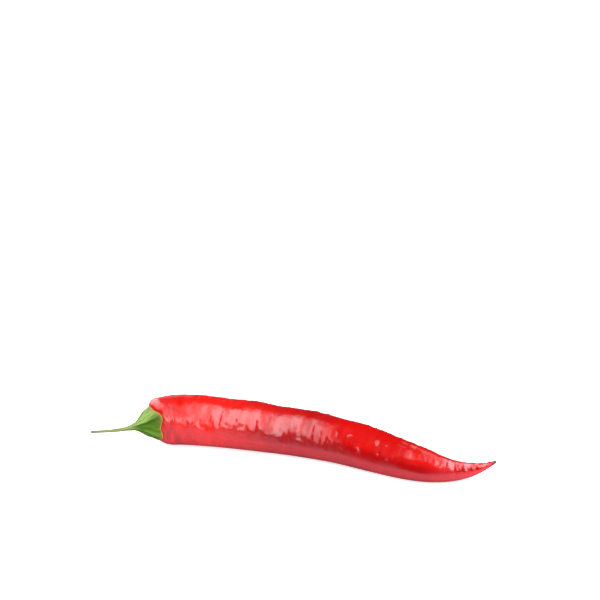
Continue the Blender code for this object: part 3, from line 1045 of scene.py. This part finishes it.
def floor_material():
    """White paper. It is dimmer to the chilli than to the camera, and fades to pure white far away."""
    material, tree, shader = new_material("white_paper")
    place = wire(tree, "ShaderNodeTexCoord", output="Object")
    rays = tree.nodes.new("ShaderNodeLightPath").outputs
    grain = product(tree, fine_grain(tree, place, *FLOOR_GRAIN), FLOOR_GRAIN_SHARE)
    paper = mixed(tree, grain, FLOOR_WHITE, FLOOR_SHADE)
    layers = ((rays["Is Glossy Ray"], floor_shine(tree, place)), (rays["Is Camera Ray"], paper))
    use(tree, layered(tree, FLOOR_BOUNCE, layers), shader, "Base Color")
    away = wire(tree, "ShaderNodeVectorMath", (place,), output="Value", operation="LENGTH")
    white = fade_in(tree, away, *WHITE_FADE, FLOOR_GLOW, 1.0)
    use(tree, product(tree, white, rays["Is Camera Ray"]), shader, "Emission Strength")
    shader.inputs["Emission Color"].default_value = (1.0, 1.0, 1.0, 1.0)
    shader.inputs["Roughness"].default_value = FLOOR_ROUGHNESS
    shader.inputs["Specular IOR Level"].default_value = 0.0
    return material


FLOOR_SIZE = 4.0
FLOOR_DROP = 0.02 * MM


def studio_floor():
    mesh = bpy.data.meshes.new("studio_floor")
    half = FLOOR_SIZE / 2
    corners = [(x * half, y * half, -FLOOR_DROP) for x, y in ((-1, -1), (1, -1), (1, 1), (-1, 1))]
    mesh.from_pydata(corners, [], [(0, 1, 2, 3)])
    mesh.materials.append(floor_material())
    floor = bpy.data.objects.new("studio_floor", mesh)
    bpy.context.scene.collection.objects.link(floor)


LIGHT_DISTANCE = 0.6
LIGHT_WHITE = (0.96, 0.96, 1.0)
SOFT_LIGHTS = (  # the name, the two side angles, the two rise angles and the radiance of each
    ("front_softbox", (-40, 17), (11, 92), 1.45),
    ("front_softbox", (-40, 17), (7, 112), 1.45),
    ("tip_softbox", (30, 50), (22, 144), 4.2),
    ("shoulder_softbox", (-68, -25), (100, 176), 3.3),
    ("back_strip", (-22, -8), (154, 176), 0.9),
)


def soft_light(name, side, rise, radiance):
    """A rectangular soft light that the chilli sees between two side angles and two rise angles, in degrees.

    Side is 0 straight ahead and grows to the camera's right. Rise is 0 at the camera's side, 90 overhead
    and 180 behind the chilli.
    """
    left, right = (LIGHT_DISTANCE * math.tan(math.radians(angle)) for angle in side)
    middle = math.radians(sum(rise) / 2)
    way = Vector((0, -math.cos(middle), math.sin(middle)))
    light = bpy.data.lights.new(name, "AREA")
    light.shape = "RECTANGLE"
    light.size = right - left
    light.size_y = 2 * LIGHT_DISTANCE * math.tan(math.radians(rise[1] - rise[0]) / 2)
    light.energy = radiance * math.pi * light.size * light.size_y
    light.color = LIGHT_WHITE
    lamp = bpy.data.objects.new(name, light)
    lamp.location = ANCHOR + way * LIGHT_DISTANCE + Vector(((left + right) / 2, 0, 0))
    lamp.rotation_euler = way.to_track_quat("Z", "Y").to_euler()
    lamp.visible_camera = False
    bpy.context.scene.collection.objects.link(lamp)


WORLD_GLOW = 0.12
WORLD_SHINE = 0.01  # how bright the chilli's gloss shows the room


def studio_world():
    """White to the camera, a dim grey glow for everything else, and dark in the chilli's gloss."""
    world = bpy.data.worlds.new("studio_world")
    world.use_nodes = True
    tree = world.node_tree
    rays = tree.nodes.new("ShaderNodeLightPath").outputs
    room = fade_in(tree, rays["Is Glossy Ray"], 0.0, 1.0, WORLD_GLOW, WORLD_SHINE)
    strength = fade_in(tree, rays["Is Camera Ray"], 0.0, 1.0, room, 1.0)
    tree.links.new(strength, tree.nodes["Background"].inputs["Strength"])
    tree.nodes["Background"].inputs["Color"].default_value = (1, 1, 1, 1)
    bpy.context.scene.world = world


def photograph_camera():
    """The camera stands so that the anchor falls on the pixel where the photograph shows it."""
    forward = Vector((0, math.cos(CAMERA_PITCH), -math.sin(CAMERA_PITCH)))
    up = Vector((0, math.sin(CAMERA_PITCH), math.cos(CAMERA_PITCH)))
    right = Vector((1, 0, 0))
    distance = PIXEL_SIZE * FRAME_PIXELS * LENS / SENSOR
    off_right = (ANCHOR_PIXEL[0] - FRAME_PIXELS / 2) * PIXEL_SIZE
    off_down = (ANCHOR_PIXEL[1] - FRAME_PIXELS / 2) * PIXEL_SIZE
    data = bpy.data.cameras.new("photograph_camera")
    data.lens = LENS
    data.sensor_width = SENSOR
    camera = bpy.data.objects.new("photograph_camera", data)
    camera.location = ANCHOR - forward * distance - right * off_right + up * off_down
    camera.rotation_euler = (math.pi / 2 - CAMERA_PITCH, 0, 0)
    bpy.context.scene.collection.objects.link(camera)
    bpy.context.scene.camera = camera


MOTTLE = mottle_group()
FINE_GRAIN = fine_grain_group()

pod = grown_piece("chilli_pod", POD_AROUND, POD_RINGS, pod_skin)
stalk = grown_piece("chilli_stalk", STALK_AROUND, STALK_RINGS, stalk_skin)
tip_scar = grown_piece("dried_tip_scar", TIP_SCAR_AROUND, TIP_SCAR_RINGS, tip_scar_skin)
stem_cut = grown_piece("stem_cut_end", CUT_AROUND, CUT_RINGS, stem_cut_skin)
settle_on_frame([pod, stalk, tip_scar, stem_cut], pod, "pod")
scar_material = dry_material("dried_flower_scar", DRY_BROWN, DRY_GREY, TIP_SCAR_GRAIN, seed=6.0)
tip_scar.data.materials.append(scar_material)
pith_material = dry_material("cut_pith", PITH_GREEN, PITH_PALE, PITH_GRAIN, seed=2.0)
stem_cut.data.materials.append(pith_material)
press_on_floor(pod)
grow_relief(pod, pod_relief_tree(), POD_RELIEF, pod_material())
grow_relief(stalk, stalk_relief_tree(), STALK_RELIEF, stalk_material())
press_on_floor(pod)
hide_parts("pod")
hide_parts("stalk")
slots = (
    (pod, "pod_skin"),
    (stalk, "stalk_green"),
    (tip_scar, "pod_skin"),
    (stem_cut, "stalk_green"),
)
for piece, slot in slots:
    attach(piece, "root")

studio_floor()
studio_world()
for softbox in SOFT_LIGHTS:
    soft_light(*softbox)
photograph_camera()
bpy.context.scene.view_settings.view_transform = "Standard"
